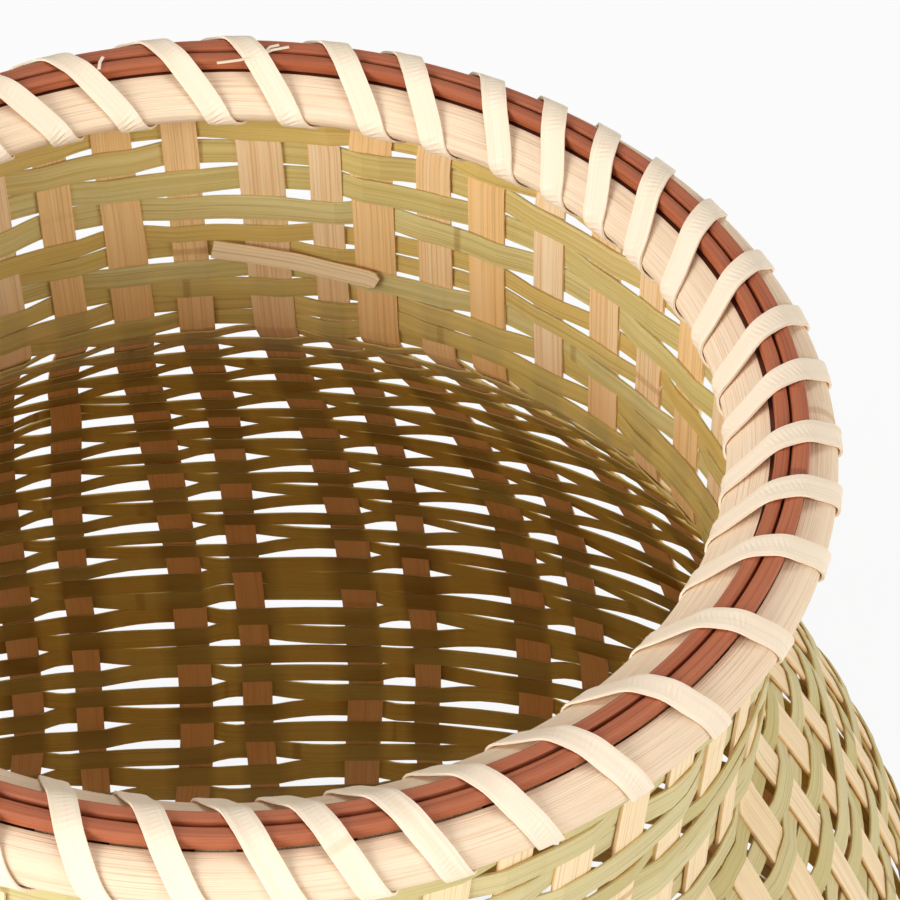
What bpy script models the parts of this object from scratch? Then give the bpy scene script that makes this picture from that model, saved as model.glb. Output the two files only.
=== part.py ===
"""A bamboo flower basket with a round mouth and a rounded-square body.

Twenty-four flat splints cross in the base and rise on both sides as forty-eight stakes. The woven wall
lies inside them in bands, parted by open slots from the belly up to the waist. Two hoops grip the stakes at the mouth, two brown strands cover the edge
between the hoops, and one flat strip is wound round hoops and strands all the way.
The origin is on the floor under the middle of the base. +Z is up and the lengths are in metres.
"""

from math import ceil, cos, floor, pi, radians, sin, sqrt

import bpy
from mathutils import Vector

# Counts
SPLINTS_EACH_WAY = 12
LASH_TURNS = 41
HEEL_STEPS = 3
BELLY_STEPS = 2
NECK_STEPS = 2
HOOP_SEGMENTS = 56
HOOP_FACE_STEPS = 4
STRAND_SIDES = 6

# Bands between the belly and the waist, from the lowest up, and how many rings make up each of them
BAND_RINGS = 3
SHOULDER_BANDS = ("lower_flank_weave", "flank_weave", "lower_shoulder_weave", "shoulder_weave")

# Body, measured to the middle of the stakes
WAIST_HEIGHT = 0.2145
NECK_HEIGHT = 0.0660
WAIST_RADIUS = 0.0920
BELLY_HALF_WIDTH = 0.1425
BELLY_HEIGHT = 0.060
HEEL_HEIGHT = 0.028
FLARE_POWER = 2.2

# The heel stands this far in from the belly, and the base this far in from the heel.
HEEL_DRAW_IN = 0.0020
BASE_DRAW_IN = 0.0150

# The stakes lean round the basket as they rise from the belly to the rim.
STAKE_TWIST = radians(8.85)
TWIST_POWER = 1.4

# A corner's roundness is 1 over its superellipse power, so 0.5 is a circle and 0 a square.
ROUND_SHARE = 0.5
BELLY_ROUND_SHARE = 0.345
BASE_ROUND_SHARE = 0.145

# Strips
STAKE_WIDTH = 0.0072
STAKE_THICKNESS = 0.0009
WEAVE_THICKNESS = 0.0012

# The part of a ring's pitch that stays open between two rings of the wall
OPEN_SHARE = 0.3

# Rim
MOUTH_RADIUS = 0.0819
INNER_HOOP_THICKNESS = 0.0070
INNER_HOOP_HEIGHT = 0.0080
OUTER_HOOP_THICKNESS = 0.0052
OUTER_HOOP_HEIGHT = 0.0096
HOOP_FULLNESS_SHARE = 0.95
STRAND_DIAMETER = 0.0028
STRAND_PROUD = 0.0028
LASH_WIDTH = 0.0050
LASH_THICKNESS = 0.0007
LASH_SIDE_ROOM = 0.0006
LASH_END_GAP_SHARE = 0.04

CLEARANCE = 0.0003

# How far from a point its neighbours are taken to read the wall's directions, as a share of a column
PROBE_SHARE = 1e-4

# Worked out from the sizes above
STAKES = 4 * SPLINTS_EACH_WAY
COLUMN_ANGLE = 2 * pi / STAKES
TWIST_COLUMNS = STAKE_TWIST / COLUMN_ANGLE
HEEL_HALF_WIDTH = BELLY_HALF_WIDTH - HEEL_DRAW_IN
BASE_HALF_WIDTH = HEEL_HALF_WIDTH - BASE_DRAW_IN
RIM_TOP = WAIST_HEIGHT + NECK_HEIGHT
LOWER_SPLINT_LEVEL = STAKE_THICKNESS / 2
UPPER_SPLINT_LEVEL = LOWER_SPLINT_LEVEL + STAKE_THICKNESS + CLEARANCE
INNER_HOOP_BACK = MOUTH_RADIUS + INNER_HOOP_THICKNESS
INNER_STRAND_RADIUS = INNER_HOOP_BACK + CLEARANCE + STRAND_DIAMETER / 2
OUTER_STRAND_RADIUS = INNER_STRAND_RADIUS + STRAND_DIAMETER + CLEARANCE
OUTER_HOOP_BACK = OUTER_STRAND_RADIUS + STRAND_DIAMETER / 2 + CLEARANCE
STRAND_LEVEL = RIM_TOP - STRAND_DIAMETER / 2
RIM_WALL_RADIUS = OUTER_HOOP_BACK - CLEARANCE - STAKE_THICKNESS / 2
HOOP_TOP = RIM_TOP - STRAND_PROUD
INNER_HOOP_BOTTOM = HOOP_TOP - INNER_HOOP_HEIGHT
OUTER_HOOP_BOTTOM = HOOP_TOP - OUTER_HOOP_HEIGHT
LASH_REST = CLEARANCE + LASH_THICKNESS / 2
LASH_BOTTOM = min(INNER_HOOP_BOTTOM, OUTER_HOOP_BOTTOM) - LASH_REST - LASH_THICKNESS
RIM_WEAVE_BOTTOM = max(INNER_HOOP_BOTTOM, OUTER_HOOP_BOTTOM)
NECK_WEAVE_TOP = LASH_BOTTOM - CLEARANCE
STAKE_TOP = STRAND_LEVEL - STRAND_DIAMETER / 2 - CLEARANCE
STAKE_GAP = COLUMN_ANGLE * RIM_WALL_RADIUS - STAKE_WIDTH
LASH_PINCH = min(LASH_WIDTH, STAKE_GAP - 2 * LASH_SIDE_ROOM)

WALL_FACES_IN = -(STAKE_THICKNESS / 2 + CLEARANCE)

# Colours (linear), roughness
BAMBOO_TAN = (0.72, 0.52, 0.28, 1.0)
BAMBOO_GREEN = (0.50, 0.47, 0.22, 1.0)
BAMBOO_CREAM = (0.86, 0.72, 0.52, 1.0)
BAMBOO_IVORY = (0.92, 0.82, 0.64, 1.0)
REED_BROWN = (0.30, 0.085, 0.05, 1.0)


def clear_scene():
    for obj in list(bpy.data.objects):
        bpy.data.objects.remove(obj, do_unlink=True)


def make_material(name, colour, roughness):
    material = bpy.data.materials.new(name)
    material.use_nodes = True
    shader = material.node_tree.nodes["Principled BSDF"]
    shader.inputs["Base Color"].default_value = colour
    shader.inputs["Roughness"].default_value = roughness
    shader.inputs["Metallic"].default_value = 0.0
    return material


def ease(share):
    share = min(max(share, 0.0), 1.0)
    return share * share * (3 - 2 * share)


def mix(first, second, share):
    return first + (second - first) * share


def half_width_at(height):
    """Distance from the axis to the middle of a side, on the middle of the stakes."""
    if height >= INNER_HOOP_BOTTOM:
        return RIM_WALL_RADIUS
    if height >= WAIST_HEIGHT:
        up = (height - WAIST_HEIGHT) / (INNER_HOOP_BOTTOM - WAIST_HEIGHT)
        return mix(WAIST_RADIUS, RIM_WALL_RADIUS, up ** 2)
    if height >= BELLY_HEIGHT:
        up = (height - BELLY_HEIGHT) / (WAIST_HEIGHT - BELLY_HEIGHT)
        return mix(BELLY_HALF_WIDTH, WAIST_RADIUS, up ** FLARE_POWER)
    down = (BELLY_HEIGHT - height) / (BELLY_HEIGHT - HEEL_HEIGHT)
    return mix(BELLY_HALF_WIDTH, HEEL_HALF_WIDTH, down ** 2)


def round_share_at(height):
    if height < BELLY_HEIGHT:
        return mix(BELLY_ROUND_SHARE, BASE_ROUND_SHARE, (1 - height / BELLY_HEIGHT) ** 2)
    up = (height - BELLY_HEIGHT) / (WAIST_HEIGHT - BELLY_HEIGHT)
    return mix(BELLY_ROUND_SHARE, ROUND_SHARE, min(up, 1))


def profile(station):
    """Half width and height of the wall: station -1 to 0 climbs the heel's arc, 0 to 1 the wall above."""
    if station < 0:
        turn = -station * pi / 2
        half_width = mix(BASE_HALF_WIDTH, HEEL_HALF_WIDTH, cos(turn))
        return half_width, mix(HEEL_HEIGHT, UPPER_SPLINT_LEVEL, sin(turn))
    height = mix(HEEL_HEIGHT, STAKE_TOP, station)
    return half_width_at(height), height


def station_at(height):
    return (height - HEEL_HEIGHT) / (STAKE_TOP - HEEL_HEIGHT)


def wall_point(column, station):
    """A point on the middle of the stakes. Columns count round the basket, and stakes stand at the halves."""
    half_width, height = profile(station)
    share = round_share_at(height)
    climb = (height - HEEL_HEIGHT) / (WAIST_HEIGHT - HEEL_HEIGHT)
    lean = (height - BELLY_HEIGHT) / (INNER_HOOP_BOTTOM - BELLY_HEIGHT)
    column += TWIST_COLUMNS * min(max(lean, 0.0), 1.0) ** TWIST_POWER
    side = floor(column / SPLINTS_EACH_WAY)
    across = 2 * (column / SPLINTS_EACH_WAY - side) - 1
    even = sin(across * pi / 4) / sin(pi / 4)
    along = half_width * 2 ** -share * mix(across, even, ease(climb))
    deep = half_width * (1 - abs(along / half_width) ** (1 / share)) ** share
    turn = side * pi / 2
    return Vector((deep * cos(turn) - along * sin(turn), deep * sin(turn) + along * cos(turn), height))


def wall_frame(column, station):
    """The wall's point, its direction round the basket and its outward normal."""
    point = wall_point(column, station)
    low = max(station - PROBE_SHARE, -1)
    high = min(station + PROBE_SHARE, 1)
    around = wall_point(column + PROBE_SHARE, station) - wall_point(column - PROBE_SHARE, station)
    around.normalize()
    up = (wall_point(column, high) - wall_point(column, low)).normalized()
    return point, around, around.cross(up).normalized()


def link_mesh(name, points, faces, material):
    mesh = bpy.data.meshes.new(name)
    mesh.from_pydata([tuple(point) for point in points], [], faces)
    mesh.materials.append(material)
    mesh.shade_smooth()
    mesh.set_sharp_from_angle(angle=radians(35))
    obj = bpy.data.objects.new(name, mesh)
    bpy.context.scene.collection.objects.link(obj)
    return obj


def thicken(obj, thickness, offset):
    solidify = obj.modifiers.new("thickness", "SOLIDIFY")
    solidify.thickness = thickness
    solidify.offset = offset


def add_ribbon(name, pairs, thickness, material):
    """A flat strip from the left and right edge points of its middle surface."""
    points = [point for pair in pairs for point in pair]
    faces = [(2 * i, 2 * i + 1, 2 * i + 3, 2 * i + 2) for i in range(len(pairs) - 1)]
    obj = link_mesh(name, points, faces, material)
    thicken(obj, thickness, 0.0)
    return obj


def wall_ring(station):
    """Points round the wall at one station, on the face that lies against the stakes."""
    ring = []
    for column in range(STAKES):
        point, _, normal = wall_frame(column, station)
        ring.append(point + normal * WALL_FACES_IN)
    return ring


def ring_between(low, high, share):
    """A ring on the flat facets that join two others."""
    return [first.lerp(second, share) for first, second in zip(low, high)]


def add_band(name, rings, thickness, material):
    """A band of the wall over rings from the lowest up, thickened inwards from its outer face."""
    points = [point for ring in rings for point in ring]
    faces = []
    for row in range(len(rings) - 1):
        for column in range(STAKES):
            beside = (column + 1) % STAKES
            low, high = row * STAKES, (row + 1) * STAKES
            faces.append((low + column, low + beside, high + beside, high + column))
    obj = link_mesh(name, points, faces, material)
    thicken(obj, thickness, -1.0)
    return obj


def steps_between(low, high, steps):
    return [mix(low, high, i / steps) for i in range(steps + 1)]


def wall_levels():
    """The stations that bands and stakes share, so that their facets lie side by side."""
    belly = steps_between(0, station_at(BELLY_HEIGHT), BELLY_STEPS)
    shoulder = steps_between(belly[-1], station_at(WAIST_HEIGHT), len(SHOULDER_BANDS))
    neck = steps_between(shoulder[-1], station_at(NECK_WEAVE_TOP), NECK_STEPS)
    return {
        "heel": steps_between(-1, 0, HEEL_STEPS),
        "belly": belly,
        "shoulder": shoulder,
        "neck": neck,
        "rim": [station_at(RIM_WEAVE_BOTTOM), 1.0],
    }


def opposite(stake):
    """The stake at the other end of the same splint."""
    side = stake // SPLINTS_EACH_WAY
    return ((2 * side + 3) * SPLINTS_EACH_WAY - 1 - stake) % STAKES


def stake_pairs(stake, stations, level):
    """Edge points of one stake from the base up. Its lowest stations sink to the splint's own level."""
    column = stake + 0.5
    side_turn = (stake // SPLINTS_EACH_WAY) * pi / 2
    base_across = Vector((-sin(side_turn), cos(side_turn), 0))
    freed = stations[1]
    pairs = []
    for station in stations:
        point, around, _ = wall_frame(column, station)
        flat = ease((freed - station) / (freed + 1))
        point.z += (level - UPPER_SPLINT_LEVEL) * flat
        across = around.lerp(base_across, flat).normalized() * (STAKE_WIDTH / 2)
        pairs.append((point - across, point + across))
    return pairs


def add_splints(levels, material):
    """Each splint is two opposite stakes and the flat run between them across the base."""
    stations = levels["heel"][:-1] + levels["belly"][:-1] + levels["shoulder"][:-1] + levels["neck"]
    stations = stations + levels["rim"]
    for way, level in (("x", LOWER_SPLINT_LEVEL), ("y", UPPER_SPLINT_LEVEL)):
        first = 0 if way == "x" else SPLINTS_EACH_WAY
        for i in range(SPLINTS_EACH_WAY):
            near = stake_pairs(first + i, stations, level)
            far = stake_pairs(opposite(first + i), stations, level)
            path = [(right, left) for left, right in reversed(near)] + far
            add_ribbon(f"splint_{way}_{i + 1:02d}", path, STAKE_THICKNESS, material)


def parted(stations, gap_below, gap_above):
    """The same stations with half a clearance taken off an end that meets another band."""
    half_gap = CLEARANCE / 2 / (STAKE_TOP - HEEL_HEIGHT)
    ends = list(stations)
    ends[0] += half_gap * gap_below
    ends[-1] -= half_gap * gap_above
    return ends


def add_open_band(name, low_station, high_station, material):
    """A band as level rings with open slots between, all on the flat facets of the stakes outside it."""
    low = wall_ring(low_station)
    high = wall_ring(high_station)
    for i in range(BAND_RINGS):
        ends = [(i + OPEN_SHARE / 2) / BAND_RINGS, (i + 1 - OPEN_SHARE / 2) / BAND_RINGS]
        rings = [ring_between(low, high, share) for share in ends]
        add_band(f"{name}_{i + 1}" if i else name, rings, WEAVE_THICKNESS, material)


def add_weave(levels, material):
    bands = {
        "heel_weave": parted(levels["heel"][1:], 0, 1),
        "belly_weave": parted(levels["belly"], 1, 1),
        "neck_weave": parted(levels["neck"], 1, 0),
    }
    for name, stations in bands.items():
        add_band(name, [wall_ring(station) for station in stations], WEAVE_THICKNESS, material)
    shoulder = levels["shoulder"]
    for name, low, high in zip(SHOULDER_BANDS, shoulder, shoulder[1:]):
        add_open_band(name, low, high, material)
    packed = RIM_WALL_RADIUS + WALL_FACES_IN - INNER_HOOP_BACK - CLEARANCE
    add_band("rim_weave", [wall_ring(station) for station in levels["rim"]], packed, material)


def hoop_face(turn, thickness, height):
    """Distance off the hoop's flat back and height over its middle, turn running from -90 to 90 degrees."""
    out = thickness * abs(cos(turn)) ** HOOP_FULLNESS_SHARE
    rise = height / 2 * abs(sin(turn)) ** HOOP_FULLNESS_SHARE
    return out, rise if turn > 0 else -rise


def spin_section(name, section, material):
    """A ring whose closed section is given as (radius, height) points, counter-clockwise in that plane."""
    count = len(section)
    points = []
    faces = []
    for i in range(HOOP_SEGMENTS):
        turn = 2 * pi * i / HOOP_SEGMENTS
        points += [Vector((r * cos(turn), r * sin(turn), z)) for r, z in section]
        low, high = i * count, (i + 1) % HOOP_SEGMENTS * count
        faces += [(low + k, high + k, high + (k + 1) % count, low + (k + 1) % count) for k in range(count)]
    return link_mesh(name, points, faces, material)


def hoop_section(back, inwards, thickness, height):
    """The half-round section of a split hoop, its flat back to the wall."""
    sign = -1 if inwards else 1
    middle = HOOP_TOP - height / 2
    points = []
    for i in range(HOOP_FACE_STEPS + 2):
        out, rise = hoop_face(mix(-pi / 2, pi / 2, i / (HOOP_FACE_STEPS + 1)), thickness, height)
        points.append((back + sign * out, middle + rise))
    return points[::-1] if inwards else points


def add_rim(hoop_material, strand_material):
    inner = hoop_section(INNER_HOOP_BACK, True, INNER_HOOP_THICKNESS, INNER_HOOP_HEIGHT)
    outer = hoop_section(OUTER_HOOP_BACK, False, OUTER_HOOP_THICKNESS, OUTER_HOOP_HEIGHT)
    spin_section("inner_hoop", inner, hoop_material)
    spin_section("outer_hoop", outer, hoop_material)
    for name, radius in (("inner_strand", INNER_STRAND_RADIUS), ("outer_strand", OUTER_STRAND_RADIUS)):
        section = []
        for i in range(STRAND_SIDES):
            turn = 2 * pi * i / STRAND_SIDES
            section.append(
                (radius + STRAND_DIAMETER / 2 * cos(turn), STRAND_LEVEL + STRAND_DIAMETER / 2 * sin(turn))
            )
        spin_section(name, section, strand_material)


def outset(section, distance):
    """The closed section grown outwards. It is given as (radius, height) points, clockwise in that plane."""
    grown = []
    for i, (radius, height) in enumerate(section):
        point = Vector((radius, height))
        before = (point - Vector(section[i - 1])).normalized()
        after = (Vector(section[(i + 1) % len(section)]) - point).normalized()
        corner = (before + after).normalized()
        grown.append(point + Vector((-corner.y, corner.x)) * distance / corner.dot(before))
    return grown


def lash_section():
    """One turn of the strip's middle line, as (radius, height) points round hoops and strands.

    It starts under the wall, climbs the mouth side, crosses the strands and comes down the outer side."""
    inner = hoop_section(INNER_HOOP_BACK, True, INNER_HOOP_THICKNESS, INNER_HOOP_HEIGHT)
    outer = hoop_section(OUTER_HOOP_BACK, False, OUTER_HOOP_THICKNESS, OUTER_HOOP_HEIGHT)
    strands = [(INNER_STRAND_RADIUS, RIM_TOP), (OUTER_STRAND_RADIUS, RIM_TOP)]
    return outset(inner[::-1][:-1] + strands + outer[::-1][1:], LASH_REST)


def lash_angle(turn, share):
    """The strip goes through the wall only between stakes, so each turn starts and ends at a gap."""
    start = ceil(turn * STAKES / LASH_TURNS) * COLUMN_ANGLE
    end = ceil((turn + 1) * STAKES / LASH_TURNS) * COLUMN_ANGLE
    first_gap = -pi / 4 + STAKE_TWIST
    return first_gap + mix(start, end, share)


def add_lashing(material):
    """The strip bends along the hoops' own edges, and narrows between stakes at its two lowest corners."""
    line = lash_section()
    corners = len(line)
    centres = []
    for turn in range(LASH_TURNS):
        for i, (radius, height) in enumerate(line):
            share = i / (corners - 1)
            if turn == LASH_TURNS - 1:
                share *= 1 - LASH_END_GAP_SHARE
            angle = lash_angle(turn, share)
            centres.append(Vector((radius * cos(angle), radius * sin(angle), height)))
    pairs = []
    for i, centre in enumerate(centres):
        before = centres[max(i - 1, 0)]
        after = centres[min(i + 1, len(centres) - 1)]
        along = (after - before).normalized()
        tangent = Vector((-centre.y, centre.x, 0)).normalized()
        slant = sqrt(1 - tangent.dot(along) ** 2)
        width = LASH_PINCH if i % corners in (0, corners - 1) else LASH_WIDTH
        across = tangent * (width / 2 / slant)
        pairs.append((centre - across, centre + across))
    add_ribbon("rim_lashing", pairs, LASH_THICKNESS, material)


def main():
    clear_scene()
    levels = wall_levels()
    add_splints(levels, make_material("stake_bamboo", BAMBOO_TAN, 0.55))
    add_weave(levels, make_material("weaver_bamboo", BAMBOO_GREEN, 0.5))
    add_rim(make_material("hoop_bamboo", BAMBOO_CREAM, 0.6), make_material("brown_reed", REED_BROWN, 0.4))
    add_lashing(make_material("lashing_bamboo", BAMBOO_IVORY, 0.5))


main()
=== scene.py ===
from functools import partial
from math import atan2, ceil, copysign, cos, degrees, floor, pi, radians, sin, sqrt
from random import Random

import bpy
from mathutils import Matrix, Vector


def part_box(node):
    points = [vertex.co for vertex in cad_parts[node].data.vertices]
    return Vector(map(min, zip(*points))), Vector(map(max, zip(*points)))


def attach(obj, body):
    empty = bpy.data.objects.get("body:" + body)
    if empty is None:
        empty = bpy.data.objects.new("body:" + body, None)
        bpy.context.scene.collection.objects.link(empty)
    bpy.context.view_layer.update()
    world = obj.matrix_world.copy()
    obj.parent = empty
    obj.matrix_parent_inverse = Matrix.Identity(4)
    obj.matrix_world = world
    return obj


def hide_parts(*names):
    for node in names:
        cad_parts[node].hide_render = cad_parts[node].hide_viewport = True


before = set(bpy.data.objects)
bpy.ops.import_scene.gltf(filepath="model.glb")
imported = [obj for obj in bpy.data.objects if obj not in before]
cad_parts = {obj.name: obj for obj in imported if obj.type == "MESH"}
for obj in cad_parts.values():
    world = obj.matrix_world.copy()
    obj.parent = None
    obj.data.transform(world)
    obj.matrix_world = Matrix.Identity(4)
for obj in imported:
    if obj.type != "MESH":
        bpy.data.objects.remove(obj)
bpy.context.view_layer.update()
print("frame loaded")


# Small helpers for building node trees

def feed(tree, value, socket):  # what a node gives is linked, anything else becomes the socket's own value
    value = getattr(value, "socket", value)
    if isinstance(value, bpy.types.NodeSocket):
        tree.links.new(value, socket)
    else:
        socket.default_value = value


def addNode(tree, kind, inputs=None, **settings):
    node = tree.nodes.new(kind)
    for name, value in settings.items():
        setattr(node, name, value)
    for key, value in (inputs or {}).items():
        feed(tree, value, node.inputs[key])
    return node


class Given:  # what a node gives, so that sums in a node tree can be written as sums
    def __init__(self, tree, socket):
        self.tree = tree
        self.socket = socket

    def __rsub__(self, other):
        return mathNode(self.tree, "SUBTRACT", other, self)


def addOperator(method, operation):
    setattr(Given, method, lambda *values: mathNode(values[0].tree, operation, *values))


for method, operation in (
    ("__add__", "ADD"), ("__sub__", "SUBTRACT"), ("__mul__", "MULTIPLY"), ("__truediv__", "DIVIDE"),
    ("__mod__", "FLOORED_MODULO"), ("__abs__", "ABSOLUTE"),
    ("__lt__", "LESS_THAN"), ("__gt__", "GREATER_THAN"),
):
    addOperator(method, operation)


def nodeValue(tree, kind, inputs=None, output=0, **settings):
    return Given(tree, addNode(tree, kind, inputs, **settings).outputs[output])


def mathNode(tree, operation, *values):
    return nodeValue(tree, "ShaderNodeMath", dict(enumerate(values)), operation=operation)


def vectorNode(tree, operation, *values):
    inputs = dict(zip((0, 3) if operation == "SCALE" else (0, 1), values))
    output = 1 if operation == "DOT_PRODUCT" else 0
    return nodeValue(tree, "ShaderNodeVectorMath", inputs, output, operation=operation)


def combine(tree, x=0.0, y=0.0, z=0.0):
    return nodeValue(tree, "ShaderNodeCombineXYZ", {0: x, 1: y, 2: z})


def separate(tree, vector):
    return [Given(tree, socket) for socket in addNode(tree, "ShaderNodeSeparateXYZ", {0: vector}).outputs]


def noiseNode(tree, vector, detail=1.0):  # runs from 0 to 1
    return nodeValue(tree, "ShaderNodeTexNoise", {"Vector": vector, "Scale": 1.0, "Detail": detail})


def rampNode(tree, value, low, high, first=0.0, last=1.0, smooth=True):
    shape = "SMOOTHSTEP" if smooth else "LINEAR"
    inputs = {0: value, 1: low, 2: high, 3: first, 4: last}
    return nodeValue(tree, "ShaderNodeMapRange", inputs, interpolation_type=shape)


def clamped(tree, value, high=1.0):
    return mathNode(tree, "MINIMUM", mathNode(tree, "MAXIMUM", value, 0.0), high)


socketKinds = {int: "Int", float: "Float", tuple: "Vector"}


def startTree(name, kind, inputs, outputs):  # each input has a default value, or else the name of its kind
    tree = bpy.data.node_groups.new(name, kind)
    for label, value in inputs.items():
        plain = socketKinds.get(type(value))
        socketType = "NodeSocket" + (plain or value)
        socket = tree.interface.new_socket(label, in_out="INPUT", socket_type=socketType)
        if plain:
            socket.default_value = value
    for label, ending in outputs.items():
        tree.interface.new_socket(label, in_out="OUTPUT", socket_type="NodeSocket" + ending)
    given = {socket.name: Given(tree, socket) for socket in tree.nodes.new("NodeGroupInput").outputs}
    return tree, given, tree.nodes.new("NodeGroupOutput").inputs


def startShapeTree(name, inputs):
    inputs = inputs | {"Seed": 1, "Material": "Material"}
    return startTree(name, "GeometryNodeTree", inputs, {"Geometry": "Geometry"})


def addObject(name, data):
    obj = bpy.data.objects.new(name, data)
    bpy.context.scene.collection.objects.link(obj)
    return obj


def runTree(tree, name, values):  # gives a plain mesh object, its faces pointing out
    obj = addObject(name, bpy.data.meshes.new(name))
    modifier = obj.modifiers.new("shape", "NODES")
    modifier.node_group = tree
    for item in tree.interface.items_tree:
        if item.item_type == "SOCKET" and item.in_out == "INPUT" and item.name in values:
            modifier[item.identifier] = values[item.name]
    graph = bpy.context.evaluated_depsgraph_get()
    mesh = bpy.data.meshes.new_from_object(obj.evaluated_get(graph))
    obj.modifiers.remove(modifier)
    obj.data = mesh
    mesh.name = name
    if signedVolume(mesh) < 0:
        mesh.flip_normals()
    return obj


def signedVolume(mesh):
    mesh.calc_loop_triangles()
    total = 0.0
    for triangle in mesh.loop_triangles:
        a, b, c = (mesh.vertices[i].co for i in triangle.vertices)
        total += a.dot(b.cross(c))
    return total / 6


def mix(first, second, share):
    return first + (second - first) * share


def ease(share):
    share = min(max(share, 0.0), 1.0)
    return share * share * (3 - 2 * share)


# Camera, fitted to the rim's ellipse in the photograph. A 900 pixel square frame is assumed.

photoView = {
    "framePixels": 900,
    "focalPixels": 4325,
    "elevation": radians(43.716),
    "azimuth": radians(-4.6),
    "roll": radians(1.831),
    "mouthCentrePixels": (228.9, 403.0),
    "distanceInMouthRadii": 7.446,
    "sensorMillimetres": 36,
    "mouthBelowStrands": 0.0005,
}


def addCamera(view, mouthRadius, mouthLevel):
    back = Vector((0, -cos(view["elevation"]), sin(view["elevation"])))
    level = Matrix.Rotation(view["azimuth"], 3, "Z")
    back = level @ back
    flatRight = level @ Vector((1, 0, 0))
    flatUp = back.cross(flatRight)
    right = flatRight * cos(view["roll"]) + flatUp * sin(view["roll"])
    up = back.cross(right)
    distance = view["distanceInMouthRadii"] * mouthRadius
    middle = view["framePixels"] / 2
    perPixel = distance / view["focalPixels"]
    x, y = view["mouthCentrePixels"]
    aim = Vector((0, 0, mouthLevel)) - right * (x - middle) * perPixel + up * (y - middle) * perPixel
    data = bpy.data.cameras.new("photoCamera")
    data.sensor_width = view["sensorMillimetres"]
    data.lens = view["focalPixels"] / view["framePixels"] * view["sensorMillimetres"]
    camera = addObject("photoCamera", data)
    turn = Matrix((right, up, back)).transposed().to_4x4()
    camera.matrix_world = Matrix.Translation(aim + back * distance) @ turn
    bpy.context.scene.camera = camera
    return camera


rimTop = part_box("inner_hoop")[1].z
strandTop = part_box("outer_strand")[1].z
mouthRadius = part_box("outer_strand")[1].x
camera = addCamera(photoView, mouthRadius, strandTop - photoView["mouthBelowStrands"])
print("camera placed")


# The woven wall's own surface, which stakes and weavers follow

wall = {
    "splintsEachWay": 12,
    "waistHeight": 0.2145,
    "waistRadius": 0.0920,
    "bellyHalfWidth": 0.1425,
    "bellyHeight": 0.060,
    "heelHalfWidth": 0.1405,
    "heelHeight": 0.028,
    "baseHalfWidth": 0.1255,
    "baseLevel": 0.00105,
    "flarePower": 2.2,
    "twist": radians(8.85),
    "twistPower": 1.4,
    "roundShare": 0.5,
    "bellyRoundShare": 0.345,
    "baseRoundShare": 0.145,
    "rimRadius": 0.0938,
    "weaveInset": 0.00075,
    "bellySway": 0.14,
    "waistNudge": 0.12,
    "nudgeFade": 0.012,
    "nudgeRise": 3,
    "swayRise": 1.3,
    "swayFoot": 2,
    "insetStart": 0.3,
    "insetFade": 0.004,
    "measureSteps": 900,
    "guideStep": 0.0016,
    "guideStepsPerColumn": 8,
    "guideSpareColumns": 2,
}
stakes = 4 * wall["splintsEachWay"]
stakeNudges = {11: 0.1, 12: 0.2, 13: 0.1, 14: 0.09, 15: -0.2, 16: -0.21}  # in the neck, shares of a column
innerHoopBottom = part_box("inner_hoop")[0].z
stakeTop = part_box("splint_x_01")[1].z


def halfWidthAt(height):
    if height >= innerHoopBottom:
        return wall["rimRadius"]
    if height >= wall["waistHeight"]:
        up = (height - wall["waistHeight"]) / (innerHoopBottom - wall["waistHeight"])
        return mix(wall["waistRadius"], wall["rimRadius"], up ** 2)
    if height >= wall["bellyHeight"]:
        up = (height - wall["bellyHeight"]) / (wall["waistHeight"] - wall["bellyHeight"])
        return mix(wall["bellyHalfWidth"], wall["waistRadius"], up ** wall["flarePower"])
    down = (wall["bellyHeight"] - height) / (wall["bellyHeight"] - wall["heelHeight"])
    return mix(wall["bellyHalfWidth"], wall["heelHalfWidth"], down ** 2)


def roundShareAt(height):
    if height < wall["bellyHeight"]:
        down = 1 - height / wall["bellyHeight"]
        return mix(wall["bellyRoundShare"], wall["baseRoundShare"], down ** 2)
    up = (height - wall["bellyHeight"]) / (wall["waistHeight"] - wall["bellyHeight"])
    return mix(wall["bellyRoundShare"], wall["roundShare"], min(up, 1))


def profileAt(station):  # -2 to -1 crosses half the base, -1 to 0 climbs the heel, 0 to 1 the wall
    if station < 0:
        turn = min(-station, 1) * pi / 2
        halfWidth = mix(wall["baseHalfWidth"], wall["heelHalfWidth"], cos(turn))
        return halfWidth, mix(wall["heelHeight"], wall["baseLevel"], sin(turn))
    height = mix(wall["heelHeight"], stakeTop, station)
    return halfWidthAt(height), height


def nudgeAt(column, height):  # how far stakes stand beside their even places, as a share of a column
    stake = floor(column - 0.5)
    own = mix(stakeNudges.get(stake, 0), stakeNudges.get(stake + 1, 0), column - 0.5 - stake)
    waist, belly = wall["waistHeight"], wall["bellyHeight"]
    own += wall["waistNudge"] * (innerHoopBottom - height) / (innerHoopBottom - waist)
    up = (height - belly) / (waist - belly)
    neck = ease((innerHoopBottom - height) / wall["nudgeFade"]) * ease((up - 1) * wall["nudgeRise"] + 1)
    low = ease((1 - up) * wall["swayRise"]) * ease(height / wall["heelHeight"] / wall["swayFoot"])
    return own * neck - wall["bellySway"] * low * cos(pi * (column - 0.5))


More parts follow.
